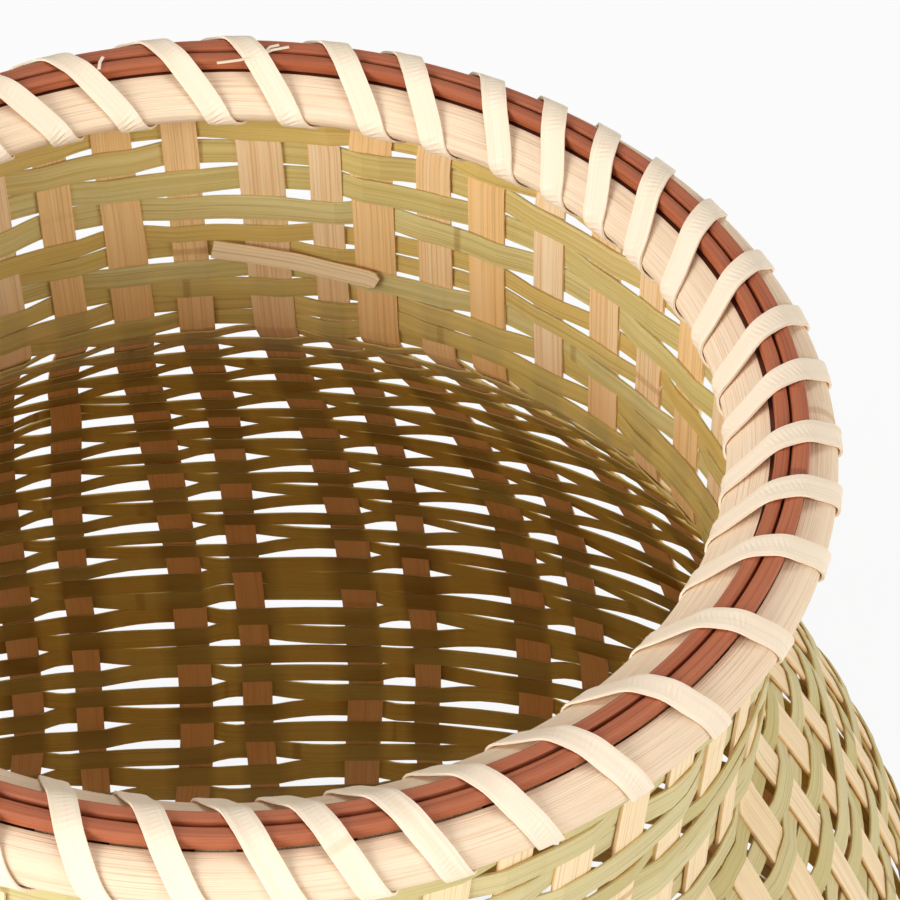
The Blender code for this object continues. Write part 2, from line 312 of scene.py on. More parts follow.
def wallSpot(column, station):
    halfWidth, height = profileAt(station)
    column += nudgeAt(column, height)
    share = roundShareAt(height)
    climb = (height - wall["heelHeight"]) / (wall["waistHeight"] - wall["heelHeight"])
    lean = (height - wall["bellyHeight"]) / (innerHoopBottom - wall["bellyHeight"])
    column += wall["twist"] / (2 * pi / stakes) * min(max(lean, 0), 1) ** wall["twistPower"]
    side = column // wall["splintsEachWay"]
    across = 2 * (column / wall["splintsEachWay"] - side) - 1
    even = sin(across * pi / 4) / sin(pi / 4)
    along = halfWidth * 2 ** -share * mix(across, even, ease(climb))
    deep = halfWidth * (1 - abs(along / halfWidth) ** (1 / share)) ** share
    deep *= min(station + 2, 1)
    turn = side * pi / 2
    return Vector((deep * cos(turn) - along * sin(turn), deep * sin(turn) + along * cos(turn), height))


def measureStations():  # (distance from the base's middle, station) at fine steps up the middle of a side
    middle = wall["splintsEachWay"] / 2
    line = []
    distance = 0.0
    before = wallSpot(middle, -2)
    for i in range(wall["measureSteps"] + 1):
        station = mix(-2, 1, i / wall["measureSteps"])
        spot = wallSpot(middle, station)
        distance += (spot - before).length
        line.append((distance, station))
        before = spot
    return line


stationLine = measureStations()
wallLength = stationLine[-1][0]


def lookUp(value, pairs):  # linear reading of a rising table of pairs
    for (x0, y0), (x1, y1) in zip(pairs, pairs[1:]):
        if value <= x1:
            return mix(y0, y1, (value - x0) / (x1 - x0)) if x1 > x0 else y1
    return pairs[-1][1]


def distanceAtHeight(height):
    station = (height - wall["heelHeight"]) / (stakeTop - wall["heelHeight"])
    return lookUp(station, [(s, d) for d, s in stationLine])


def insetAt(station):  # the weave lies inside the stakes' outer line, except in the base and the rim
    _, height = profileAt(station)
    upper = ease((height - innerHoopBottom) / wall["insetFade"] + 1)
    return wall["weaveInset"] * ease((station + 1) / wall["insetStart"]) * (1 - upper)


def putOnMesh(mesh, name, values):  # a number or a vector for each point
    if isinstance(values[0], (int, float)):
        mesh.attributes.new(name, "FLOAT", "POINT").data.foreach_set("value", values)
    else:
        numbers = [number for value in values for number in value]
        mesh.attributes.new(name, "FLOAT_VECTOR", "POINT").data.foreach_set("vector", numbers)


def addWallGuide():
    rows = ceil(wallLength / wall["guideStep"])
    perColumn = wall["guideStepsPerColumn"]
    spare = wall["guideSpareColumns"]
    wide = (stakes + 2 * spare) * perColumn + 1
    spots, stations = [], []
    for row in range(rows + 1):
        station = lookUp(row / rows * wallLength, stationLine)
        stations.append(station)
        spots.append([wallSpot(i / perColumn - spare, station) for i in range(wide)])
    points, places, facings, faces = [], [], [], []
    for row in range(rows + 1):
        below, above = max(row - 1, 0), min(row + 1, rows)
        for i in range(wide):
            around = spots[row][min(i + 1, wide - 1)] - spots[row][max(i - 1, 0)]
            rise = spots[above][i] - spots[below][i]
            facing = around.cross(rise).normalized()
            points.append(spots[row][i] - facing * insetAt(stations[row]))
            facings.append(facing)
            places.append(((i / perColumn - spare) / stakes, row / rows, 0))
            if row < rows and i < wide - 1:
                first = row * wide + i
                faces.append((first, first + 1, first + wide + 1, first + wide))
    mesh = bpy.data.meshes.new("wallGuide")
    mesh.from_pydata(points, [], faces)
    putOnMesh(mesh, "place", places)
    putOnMesh(mesh, "facing", facings)
    guide = addObject("wallGuide", mesh)
    guide.hide_render = True
    return guide


wallGuide = addWallGuide()
print("wall guide made")


# Node groups that the strip trees share

def namedValue(tree, name, kind="FLOAT"):
    return nodeValue(tree, "GeometryNodeInputNamedAttribute", {"Name": name}, data_type=kind)


def makeOnWall():  # the wall's point and outward direction at a column and a distance from the base's middle
    inputs = {"Wall": "Object", "Column": 0.0, "Distance": 0.0}
    outputs = {"Point": "Vector", "Facing": "Vector"}
    tree, given, made = startTree("onWall", "GeometryNodeTree", inputs, outputs)
    source = nodeValue(tree, "GeometryNodeObjectInfo", {"Object": given["Wall"]}, "Geometry")
    place = namedValue(tree, "place", "FLOAT_VECTOR")
    wanted = combine(tree, given["Column"] / stakes, clamped(tree, given["Distance"] / wallLength))
    position = nodeValue(tree, "GeometryNodeInputPosition")
    for label, value in (("Point", position), ("Facing", namedValue(tree, "facing", "FLOAT_VECTOR"))):
        inputs = {0: source, 1: value, 2: place, 3: wanted}
        sample = nodeValue(tree, "GeometryNodeSampleUVSurface", inputs, data_type="FLOAT_VECTOR")
        feed(tree, sample, made[label])
    return tree


onWall = makeOnWall()


def spotOnWall(tree, wallObject, column, distance):
    inputs = {"Wall": wallObject, "Column": column, "Distance": distance}
    return addNode(tree, "GeometryNodeGroup", inputs, node_tree=onWall).outputs


def pushed(tree, point, direction, distance):
    return vectorNode(tree, "ADD", point, vectorNode(tree, "SCALE", direction, distance))


def randomBetween(tree, low, high, number, seed):
    inputs = {2: low, 3: high, 7: number, 8: seed}
    return nodeValue(tree, "FunctionNodeRandomValue", inputs, 1, data_type="FLOAT")


def ringWave(tree, turn, radius, shift, level):  # noise from -1 to 1 that closes on itself round a ring
    across = mathNode(tree, "COSINE", turn) * radius + shift
    deep = mathNode(tree, "SINE", turn) * radius
    return noiseNode(tree, combine(tree, across, deep, level)) * 2.0 - 1.0


stripShape = {
    "sides": 8,
    "edgePower": 0.4,
    "weldDistance": 0.00001,
    "hardAngle": radians(38),
    "pathSeedStep": 2.3,
}


def signedPower(tree, value, power):
    return mathNode(tree, "SIGN", value) * mathNode(tree, "POWER", abs(value), power)


def sectionOffsets(tree):  # a flat section with eased edges, as (across, rise) from -1 to 1
    turn = namedValue(tree, "ring") * (2 * pi) + pi / stripShape["sides"]
    ways = (mathNode(tree, "COSINE", turn), mathNode(tree, "SINE", turn))
    return [signedPower(tree, way, stripShape["edgePower"]) for way in ways]


def betweenCaps(step, lastStep):  # 0 at a strip's first and last step, where it closes to a point, else 1
    return (step > 0.5) * (step < lastStep - 0.5)


def store(tree, geometry, name, value, domain="POINT", kind="FLOAT"):
    inputs = {0: geometry, 2: name, 3: value}
    return nodeValue(tree, "GeometryNodeStoreNamedAttribute", inputs, data_type=kind, domain=domain)


def stripGrid(tree, runSteps, ringSteps):  # a grid that carries run (0 to 1 along) and ring (0 to 1 round)
    grid = nodeValue(tree, "GeometryNodeMeshGrid", {0: 1.0, 1: 1.0, 2: runSteps, 3: ringSteps})
    run, ring, _ = separate(tree, nodeValue(tree, "GeometryNodeInputPosition"))
    return store(tree, store(tree, grid, "run", run + 0.5), "ring", ring + 0.5)


def onPoints(tree, geometry, count):  # one copy of the strip for each row, which then knows its row number
    line = nodeValue(tree, "GeometryNodeMeshLine", {"Count": count, "Offset": (0.0, 0.0, 0.0)})
    copies = nodeValue(tree, "GeometryNodeInstanceOnPoints", {"Points": line, "Instance": geometry})
    copies = store(tree, copies, "row", nodeValue(tree, "GeometryNodeInputIndex"), domain="INSTANCE")
    return nodeValue(tree, "GeometryNodeRealizeInstances", {0: copies})


def finishStrip(tree, geometry, point, grain, side, given, made):  # moves, welds, shades and paints it
    geometry = store(tree, geometry, "grain", grain, domain="CORNER", kind="FLOAT_VECTOR")
    geometry = store(tree, geometry, "side", side, domain="CORNER")
    geometry = nodeValue(tree, "GeometryNodeSetPosition", {0: geometry, "Position": point})
    inputs = {0: geometry, "Distance": stripShape["weldDistance"]}
    geometry = nodeValue(tree, "GeometryNodeMergeByDistance", inputs)
    hard = nodeValue(tree, "GeometryNodeInputMeshEdgeAngle") > stripShape["hardAngle"]
    geometry = nodeValue(tree, "GeometryNodeSetShadeSmooth", {0: geometry, 1: hard, 2: False}, domain="EDGE")
    for name in ("run", "ring", "row"):
        geometry = nodeValue(tree, "GeometryNodeRemoveAttribute", {0: geometry, "Name": name})
    geometry = nodeValue(tree, "GeometryNodeRealizeInstances", {0: geometry})
    geometry = nodeValue(tree, "GeometryNodeSetMaterial", {0: geometry, "Material": given["Material"]})
    feed(tree, geometry, made["Geometry"])
    return tree


# Weavers: closed rings of flat strip that pass inside some stakes and outside the others

weaverWaves = {  # how fast a wave changes round the ring and from row to row, and where it starts
    "slow": (1.6, 0.35, 0.0),
    "quick": (7.0, 1.9, 20.0),
    "tilt": (6.0, 2.3, 40.0),
    "width": (4.0, 3.1, 60.0),
}
weaverShape = {
    "quickShare": 0.8,
    "widthChange": 0.16,
    "rowWidths": (0.9, 1.1),
    "crossingEdge": (0.2, 0.34),
    "rowNumbers": 97.0,
    "seedStep": 7.31,
}


def makeWeaverTree():
    shape = weaverShape
    tree, given, made = startShapeTree("weaverRows", {
        "Wall": "Object", "Rows": 4, "First Row": 0, "Top Distance": 0.3, "Row Pitch": 0.006, "Lift": 0.0008,
        "Strip Width": 0.004, "Thickness": 0.0005, "Inside Stakes": 2, "Outside Stakes": 1, "Shift": 1,
        "Phase": 0, "Slips": 0.03, "Wander": 0.0004, "Tilt": 0.0002, "Bunching": 0.0006,
        "Column Length": 0.015, "Stake Half": 0.2, "Gap End": 0.8, "Steps Per Stake": 6,
    })
    runSteps = given["Steps Per Stake"] * stakes + 1
    strip = onPoints(tree, stripGrid(tree, runSteps, stripShape["sides"] + 1), given["Rows"])
    row = namedValue(tree, "row") + given["First Row"]
    column = namedValue(tree, "run") * stakes
    across, rise = sectionOffsets(tree)
    period = given["Inside Stakes"] + given["Outside Stakes"]

    def sideOf(stake):  # 1 where the weaver passes inside this stake and -1 where it passes outside
        wrapped = stake % stakes
        phase = (row * given["Shift"] + wrapped + given["Phase"]) % period
        inside = phase < given["Inside Stakes"] - 0.5
        number = row * shape["rowNumbers"] + wrapped
        slipped = randomBetween(tree, 0.0, 1.0, number, given["Seed"]) < given["Slips"]
        return abs(inside - slipped) * 2.0 - 1.0

    fromStake = column - 0.5
    stake = mathNode(tree, "FLOOR", fromStake)
    past = fromStake - stake
    share = rampNode(tree, past, given["Stake Half"], given["Gap End"], smooth=False)
    before = sideOf(stake)
    change = sideOf(stake + 1.0) - before
    turn = namedValue(tree, "run") * (2 * pi)
    seedStep = given["Seed"] * shape["seedStep"]

    def wave(name):
        radius, stretch, shift = weaverWaves[name]
        return ringWave(tree, turn, radius, shift, row * stretch + seedStep)

    wander = wave("slow") * given["Wander"] + wave("quick") * (given["Wander"] * shape["quickShare"])
    rowWidth = randomBetween(tree, *shape["rowWidths"], row, given["Seed"])
    half = given["Strip Width"] * 0.5 * ((wave("width") * shape["widthChange"] + 1.0) * rowWidth)
    distance = given["Top Distance"] - namedValue(tree, "row") * given["Row Pitch"] + wander
    distance = change * (share * (1.0 - share)) * (given["Bunching"] * 2.0) + distance
    distance = across * half + distance
    # where the weaver lies on a stake; the material paints extra shade there low inside the body
    onStake = rampNode(tree, abs(past - 0.5), *shape["crossingEdge"])
    strip = store(tree, strip, "crossing", onStake, domain="CORNER")
    point, facing = spotOnWall(tree, given["Wall"], column, distance)
    out = rise * 0.5 * given["Thickness"] - (change * share + before) * given["Lift"]
    point = pushed(tree, point, facing, across * (wave("tilt") * given["Tilt"]) + out)
    grain = combine(tree, column * given["Column Length"], across * half, row + seedStep)
    return finishStrip(tree, strip, point, grain, rise, given, made)


# Splints: one long strip that runs down the wall, across the base and up the other side

splintShape = {  # distances are metres from the base's middle, or from the waist where the name says so
    "wanderBeats": 9.0,
    "wanderStart": (0.115, 0.16),
    "widthBeats": 6.0,
    "widthShift": 5.0,
    "widthChange": 0.12,
    "narrowNearWaist": (0.01, -0.04),
    "baseEdge": (0.105, 0.12),
    "sideStep": 0.1,
    "seedStep": 3.17,
}


def makeSplintTree():
    shape = splintShape
    tree, given, made = startShapeTree("splint", {
        "Wall": "Object", "Near Column": 0.5, "Far Column": 35.5, "Base Axis": (1.0, 0.0, 0.0),
        "Base Pitch": 0.02, "Base Lift": 0.0005, "Width": 0.007, "Body Narrowing": 0.14,
        "Thickness": 0.0009, "Wander": 0.03, "Steps": 400,
    })
    strip = onPoints(tree, stripGrid(tree, given["Steps"], stripShape["sides"] + 1), 1)
    lastStep = given["Steps"] - 1.0
    step = mathNode(tree, "ROUND", namedValue(tree, "run") * lastStep)
    inner = clamped(tree, (step - 1.0) / (lastStep - 2.0))
    signed = inner * 2.0 - 1.0  # -1 at the near top, 0 in the base's middle, 1 at the far top
    distance = abs(signed) * wallLength
    far = signed > 0.0
    seedStep = given["Seed"] * shape["seedStep"]
    noise = noiseNode(tree, combine(tree, signed * shape["wanderBeats"], seedStep)) * 2.0 - 1.0
    wander = noise * given["Wander"] * rampNode(tree, distance, *shape["wanderStart"])
    column = (given["Far Column"] - given["Near Column"]) * far + given["Near Column"] + wander
    point, facing = spotOnWall(tree, given["Wall"], column, distance)
    beside, _ = spotOnWall(tree, given["Wall"], column + shape["sideStep"], distance)
    sideways = vectorNode(tree, "NORMALIZE", vectorNode(tree, "SUBTRACT", beside, point))
    sideways = vectorNode(tree, "SCALE", sideways, far * -2.0 + 1.0)
    place = combine(tree, signed * shape["widthBeats"], seedStep, shape["widthShift"])
    uneven = (noiseNode(tree, place) * 2.0 - 1.0) * shape["widthChange"] + 1.0
    waist = distanceAtHeight(wall["waistHeight"])
    inBody = rampNode(tree, distance, *(waist + edge for edge in shape["narrowNearWaist"]))
    half = given["Width"] * 0.5 * (uneven - inBody * given["Body Narrowing"])
    across, rise = sectionOffsets(tree)
    capped = betweenCaps(step, lastStep)
    along = vectorNode(tree, "DOT_PRODUCT", point, given["Base Axis"])
    overUnder = mathNode(tree, "SINE", along / given["Base Pitch"] * pi)
    lift = overUnder * given["Base Lift"] * rampNode(tree, distance, *shape["baseEdge"], 1.0, 0.0)
    point = pushed(tree, point, facing, rise * 0.5 * given["Thickness"] * capped + lift)
    point = pushed(tree, point, sideways, across * half * capped)
    grain = combine(tree, signed * wallLength, across * half, seedStep)
    return finishStrip(tree, strip, point, grain, rise, given, made)


# Hoops and strands: rings whose section is a half round or an ellipse

ringShape = {
    "sides": 24,
    "seedStep": 5.7,
    "riseWave": (2.5, 0.0),
    "swellWave": (3.5, 30.0),
    "closingPower": 3.0,
}


def makeRingTree(name, flatBack):
    shape = ringShape
    tree, given, made = startShapeTree(name, {
        "Radius": 0.09, "Level": 0.27, "Thickness": 0.007, "Height": 0.015, "Fullness": 0.77,
        "Upper Fullness": 0.77, "Wobble": 0.0002, "Closing": 0.0, "Steps Round": 240,
    })
    calc = partial(mathNode, tree)
    sides = shape["sides"]
    strip = onPoints(tree, stripGrid(tree, given["Steps Round"] + 1, sides + 1), 1)
    corner = calc("ROUND", namedValue(tree, "ring") * sides) % sides
    angle = corner * (pi / (sides - 1)) - pi / 2 if flatBack else corner * (2 * pi / sides)
    turn = namedValue(tree, "run") * (2 * pi)
    seedStep = given["Seed"] * shape["seedStep"]
    side, upward = calc("COSINE", angle), calc("SINE", angle)
    fullness = (given["Upper Fullness"] - given["Fullness"]) * (upward > 0.0) + given["Fullness"]
    out = signedPower(tree, side, fullness) * given["Thickness"] * (1.0 if flatBack else 0.5)
    rise = signedPower(tree, upward, fullness) * given["Height"] * 0.5 + given["Level"]
    rise = ringWave(tree, turn, *shape["riseWave"], seedStep) * given["Wobble"] + rise
    swell = ringWave(tree, turn, *shape["swellWave"], seedStep) * given["Wobble"] * abs(side)
    farAndNear = calc("POWER", abs(calc("SINE", turn)), shape["closingPower"])
    radius = given["Radius"] + out + swell - farAndNear * given["Closing"]
    point = combine(tree, calc("COSINE", turn) * radius, calc("SINE", turn) * radius, rise)
    girth = abs(given["Thickness"]) + given["Height"]
    grain = combine(tree, turn * given["Radius"], angle * 0.5 * girth, seedStep)
    return finishStrip(tree, strip, point, grain, side, given, made)


# Strips along a path: the lashing, a loose weaver end and split fibres

def makePathTree():
    inputs = {"Path": "Object", "Path Points": 100, "Thickness": 0.0006}
    tree, given, made = startShapeTree("stripOnPath", inputs)
    strip = stripGrid(tree, given["Path Points"] + 2, stripShape["sides"] + 1)
    strip = onPoints(tree, strip, 1)
    lastStep = given["Path Points"] + 1.0
    step = mathNode(tree, "ROUND", namedValue(tree, "run") * lastStep)
    index = clamped(tree, step - 1.0, given["Path Points"] - 1.0)
    source = nodeValue(tree, "GeometryNodeObjectInfo", {"Object": given["Path"]}, "Geometry")

    def sampled(value, kind):
        inputs = {0: source, 1: value, 2: index}
        return nodeValue(tree, "GeometryNodeSampleIndex", inputs, data_type=kind)

    def pathValue(name, kind="FLOAT"):
        return sampled(namedValue(tree, name, kind), kind)

    centre = sampled(nodeValue(tree, "GeometryNodeInputPosition"), "FLOAT_VECTOR")
    half = pathValue("wide") * 0.5
    across, rise = sectionOffsets(tree)
    capped = betweenCaps(step, lastStep)
    point = pushed(tree, centre, pathValue("sideways", "FLOAT_VECTOR"), across * half * capped)
    out = rise * 0.5 * given["Thickness"] * capped
    point = pushed(tree, point, pathValue("facing", "FLOAT_VECTOR"), out)
    seedStep = given["Seed"] * stripShape["pathSeedStep"]
    grain = combine(tree, pathValue("along"), across * half, seedStep)
    return finishStrip(tree, strip, point, grain, rise, given, made)


weaverTree = makeWeaverTree()
splintTree = makeSplintTree()
hoopTree = makeRingTree("splitHoop", True)
strandTree = makeRingTree("roundStrand", False)
pathTree = makePathTree()
print("node trees made")


# Materials

def screenColour(red, green, blue):  # from 0-255 screen values to the linear colour a shader takes
    def linear(value):
        value /= 255
        return value / 12.92 if value <= 0.04045 else ((value + 0.055) / 1.055) ** 2.4
    return (linear(red), linear(green), linear(blue), 1.0)


fibreShape = {  # streak length in line lengths, blotch width in blotch sizes, shifts that part the patterns
    "lineShift": 0.0,
    "streakLength": 3.0,
    "streakShift": 31.0,
    "blotchWidth": 0.3,
    "blotchShift": 57.0,
    "stripStep": 13.7,
    "edge": (0.3, 0.7),
    "knotStep": 7.0,
    "knotEdge": (0.0011, 0.0003),
}


def makeFibreGroup():  # long bamboo fibres, wider streaks, cloudy blotches, and knots that cross a strip
    shape = fibreShape
    inputs = {
        "Grain": (0.0, 0.0, 0.0), "Line Spacing": 0.00025, "Streak Spacing": 0.0012, "Line Length": 0.02,
        "Blotch Size": 0.02, "Knot Spacing": 0.25,
    }
    outputs = dict.fromkeys(("Lines", "Streaks", "Blotches", "Strip", "Knots"), "Float")
    tree, given, made = startTree("bambooFibre", "ShaderNodeTree", inputs, outputs)
    along, across, strip = separate(tree, given["Grain"])

    def stretched(lengthways, spacing, shift, detail):
        spot = combine(tree, along / lengthways, across / spacing, strip * shape["stripStep"] + shift)
        return rampNode(tree, noiseNode(tree, spot, detail), *shape["edge"], smooth=False)

    streakLength = given["Line Length"] * shape["streakLength"]
    blotchWidth = given["Blotch Size"] * shape["blotchWidth"]
    perStrip = nodeValue(tree, "ShaderNodeTexWhiteNoise", {"W": strip}, noise_dimensions="1D")
    place = mathNode(tree, "FRACT", along / given["Knot Spacing"] + perStrip * shape["knotStep"])
    patterns = {
        "Lines": stretched(given["Line Length"], given["Line Spacing"], shape["lineShift"], 2.0),
        "Streaks": stretched(streakLength, given["Streak Spacing"], shape["streakShift"], 1.0),
        "Blotches": stretched(given["Blotch Size"], blotchWidth, shape["blotchShift"], 2.0),
        "Strip": perStrip,
        "Knots": rampNode(tree, abs(place - 0.5) * given["Knot Spacing"], *shape["knotEdge"]),
    }
    for label, value in patterns.items():
        feed(tree, value, made[label])
    return tree


fibreGroup = makeFibreGroup()


def mixColour(tree, share, first, second):
    return nodeValue(tree, "ShaderNodeMix", {0: share, 6: first, 7: second}, 2, data_type="RGBA")


def grainRound(tree, radius):  # strip coordinates for rings that carry none: round the rim, and up
    x, y, height = separate(tree, nodeValue(tree, "ShaderNodeTexCoord", output="Object"))
    return combine(tree, mathNode(tree, "ARCTAN2", y, x) * radius, height)


faceShape = {
    # the first four entries place the painted shade on the inner faces low in the body
    "innerShadeSide": (0.3, -0.3),
    "outerSide": (-0.2, 0.4),
    "deepShadeHeight": (0.244, 0.19),
    "baseShadeHeight": (0.0, 0.05),
    "baseShadeShare": 0.5,
    "outsideShare": 0.8,
    "lineEdge": (0.55, 0.95),
    "knotShare": 0.6,
    "knotRidge": 2.0,
    "streakRoughness": 0.15,
    "bumpDistance": 0.0002,
}


def bambooMaterial(name, look, ringRadius=None):
    material = bpy.data.materials.new(name)
    material.use_nodes = True
    tree = material.node_tree
    shader = tree.nodes["Principled BSDF"]
    shape = faceShape

    def attribute(label, output):
        return nodeValue(tree, "ShaderNodeAttribute", output=output, attribute_name=label)

    def mixIn(colour, share, key):  # lays one of the look's colours over what is there
        return mixColour(tree, share, colour, screenColour(*look[key]))

    grain = grainRound(tree, ringRadius) if ringRadius else attribute("grain", "Vector")
    side = attribute("side", "Fac")
    inputs = {key: look[key] for key in ("Line Spacing", "Streak Spacing", "Line Length", "Blotch Size")}
    fibre = addNode(tree, "ShaderNodeGroup", inputs | {"Grain": grain}, node_tree=fibreGroup)
    lines, streaks, blotches, strip, knots = (Given(tree, socket) for socket in fibre.outputs)
    colour = mixIn(screenColour(*look["stripA"]), strip, "stripB")
    colour = mixIn(colour, streaks * look["streakAmount"], "streak")
    gloss = look["gloss"]
    if "deep" in look:  # painted shade: the inner faces low in the body are painted darker and duller, as the shade deep in the basket, most of all on a stake
        height = separate(tree, nodeValue(tree, "ShaderNodeTexCoord", output="Object"))[2]
        inside = rampNode(tree, side, *shape["innerShadeSide"]) * rampNode(tree, height, *shape["deepShadeHeight"])
        inside = inside * rampNode(tree, height, *shape["baseShadeHeight"], shape["baseShadeShare"], 1.0)
        deep = mixIn(screenColour(*look["deep"]), attribute("crossing", "Fac"), "crossing")
        colour = mixColour(tree, inside * look["deepShadeAmount"], colour, deep)
        gloss = (1.0 - inside) * look["gloss"]
    colour = mixIn(colour, blotches * look["blotchAmount"], "blotch")
    if "outside" in look:
        facingOut = rampNode(tree, side, *shape["outerSide"]) * shape["outsideShare"]
        outside = mixIn(screenColour(*look["outside"]), strip, "outsideB")
        colour = mixColour(tree, facingOut, colour, outside)
    thin = rampNode(tree, lines, *shape["lineEdge"], smooth=False)
    colour = mixIn(colour, thin * look["lineAmount"], "line")
    colour = mixIn(colour, knots * shape["knotShare"], "line")
    ridges = knots * shape["knotRidge"] + lines
    inputs = {"Strength": look["bump"], "Distance": shape["bumpDistance"], "Height": ridges}
    values = {
        "Base Color": colour,
        "Roughness": streaks * shape["streakRoughness"] + look["roughness"],
        "Specular IOR Level": gloss,
        "Normal": nodeValue(tree, "ShaderNodeBump", inputs),
    }
    for label, value in values.items():
        feed(tree, value, shader.inputs[label])
    return material


stakeLook = {
    "Line Spacing": 0.00035, "Streak Spacing": 0.0011, "Line Length": 0.05, "Blotch Size": 0.03,
    "stripA": (255, 212, 144), "stripB": (255, 234, 200), "streak": (238, 184, 114), "streakAmount": 0.45,
    "outside": (255, 234, 196), "outsideB": (254, 224, 176),
    # deep and crossing are painted shade for the inner faces low in the body
    "deep": (212, 144, 72), "crossing": (212, 144, 72), "deepShadeAmount": 0.85,
    "blotch": (238, 188, 120), "blotchAmount": 0.3, "line": (190, 134, 72), "lineAmount": 0.4,
    "roughness": 0.5, "gloss": 0.3, "bump": 0.25,
}
weaverLook = {
    "Line Spacing": 0.0003, "Streak Spacing": 0.0009, "Line Length": 0.04, "Blotch Size": 0.05,
    "stripA": (230, 190, 106), "stripB": (228, 220, 164), "streak": (206, 168, 84), "streakAmount": 0.6,
    "outside": (200, 188, 130), "outsideB": (222, 208, 160),
    # deep and crossing are painted shade low inside the body, crossing darker where a weaver lies on a stake
    "deep": (196, 148, 54), "crossing": (128, 84, 18), "deepShadeAmount": 0.9,
    "blotch": (208, 186, 98), "blotchAmount": 0.5, "line": (156, 116, 52), "lineAmount": 0.4,
    "roughness": 0.42, "gloss": 0.3, "bump": 0.25,
}
hoopLook = {
    "Line Spacing": 0.0003, "Streak Spacing": 0.0012, "Line Length": 0.025, "Blotch Size": 0.03,
    "stripA": (250, 228, 198), "stripB": (250, 228, 198), "streak": (240, 208, 172), "streakAmount": 0.6,
    "blotch": (245, 213, 180), "blotchAmount": 0.5, "line": (208, 160, 116), "lineAmount": 0.5,
    "roughness": 0.6, "gloss": 0.25, "bump": 0.35,
}
lashingLook = {
    "Line Spacing": 0.0004, "Streak Spacing": 0.002, "Line Length": 0.06, "Blotch Size": 0.03,
    "stripA": (254, 236, 211), "stripB": (254, 236, 211), "streak": (251, 228, 195), "streakAmount": 0.5,
    "blotch": (252, 231, 206), "blotchAmount": 0.5, "line": (236, 206, 168), "lineAmount": 0.3,
    "roughness": 0.45, "gloss": 0.3, "bump": 0.05,
}
strandLook = {
    "Line Spacing": 0.0003, "Streak Spacing": 0.0008, "Line Length": 0.05, "Blotch Size": 0.04,
    "stripA": (186, 104, 66), "stripB": (172, 93, 57), "streak": (150, 70, 34), "streakAmount": 0.5,
    "blotch": (196, 118, 82), "blotchAmount": 0.5, "line": (104, 42, 20), "lineAmount": 0.45,
    "roughness": 0.42, "gloss": 0.35, "bump": 0.2,
}
# painted shade: dark brown for the packed rows seen in the gap between the inner strand and the inner hoop
packedShadeLook = strandLook | {
    "stripA": (124, 62, 40), "stripB": (108, 54, 36), "streak": (92, 46, 28), "blotch": (112, 56, 38),
}
stakeBamboo = bambooMaterial("stakeBamboo", stakeLook)
weaverBamboo = bambooMaterial("weaverBamboo", weaverLook)
hoopBamboo = bambooMaterial("hoopBamboo", hoopLook)
lashingBamboo = bambooMaterial("lashingBamboo", lashingLook)
brownReed = bambooMaterial("brownReed", strandLook)
print("materials made")


def finishPiece(piece, slot, *nodes):
    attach(piece, "root")
    if nodes:
        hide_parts(*nodes)


# Splints

splintSizes = {
    "wide": 0.0078,
    "narrow": 0.0066,
    "uneven": 0.05,
    "baseLift": 0.00058,
    "Thickness": 0.0009,
    "Body Narrowing": 0.04,
    "Wander": 0.05,
    "Steps": 430,
}


def addSplints():
    sizes = splintSizes
    each = wall["splintsEachWay"]
    chance = Random(11)
    basePitch = 2 * wall["baseHalfWidth"] * 2 ** -wall["baseRoundShare"] / each
    for way, axis, sign in (("x", (1.0, 0.0, 0.0), 1), ("y", (0.0, 1.0, 0.0), -1)):
        first = 0 if way == "x" else each
        for i in range(each):
            near = first + i
            far = (2 * (near // each) + 3) * each - 1 - near
            width = sizes["narrow" if i % 2 else "wide"] * (1 + chance.uniform(-1, 1) * sizes["uneven"])
            piece = runTree(splintTree, f"splint_{way}_{i + 1:02d}_strip", sizes | {
                "Wall": wallGuide,
                "Near Column": near + 0.5,
                "Far Column": far % stakes + 0.5,
                "Base Axis": axis,
                "Base Pitch": basePitch,
                "Base Lift": sizes["baseLift"] * sign * (1 if i % 2 else -1),
                "Width": width,
                "Seed": near + 1,
                "Material": stakeBamboo,
            })
            finishPiece(piece, "stake", f"splint_{way}_{i + 1:02d}")


addSplints()
print("splints made")


# Weavers in their bands, from the rim down

weaverBands = {  # rows, row pitch, strip width, how many stakes a weaver leaves inside it, phase, slips
    "neck_top": (5, 0.0060, 0.0051, 2, 0, 0.05),
    "neck_low": (6, 0.0045, 0.0042, 2, 0, 0.1),
    "shoulder": (8, 0.0053, 0.0044, 1, 2, 0.03),
    "lower_shoulder": (8, 0.0053, 0.0042, 1, 2, 0.03),
    "flank": (7, 0.0058, 0.0047, 1, 2, 0.03),
    "lower_flank": (6, 0.0064, 0.0054, 1, 2, 0.03),
    "belly": (5, 0.0064, 0.0055, 1, 2, 0.03),
    "heel": (5, 0.0058, 0.0044, 1, 2, 0.02),
}
weaverSizes = {
    "topRowHeight": 0.2682,
    "bunching": 0.0007,
    "Thickness": 0.0006,
    "Lift": 0.00076,
    "Wander": 0.00065,
    "Tilt": 0.00025,
    "Inside Stakes": 2,
    "Shift": 1,
    "Stake Half": 0.19,
    "Steps Per Stake": 6,
    "Seed": 3,
}


def nodesOfBand(name):  # the frame's nodes that a band of weavers stands for
    wanted = "neck_weave" if name == "neck_low" else f"{name}_weave"
    return sorted(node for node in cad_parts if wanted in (node, node.rpartition("_")[0]))


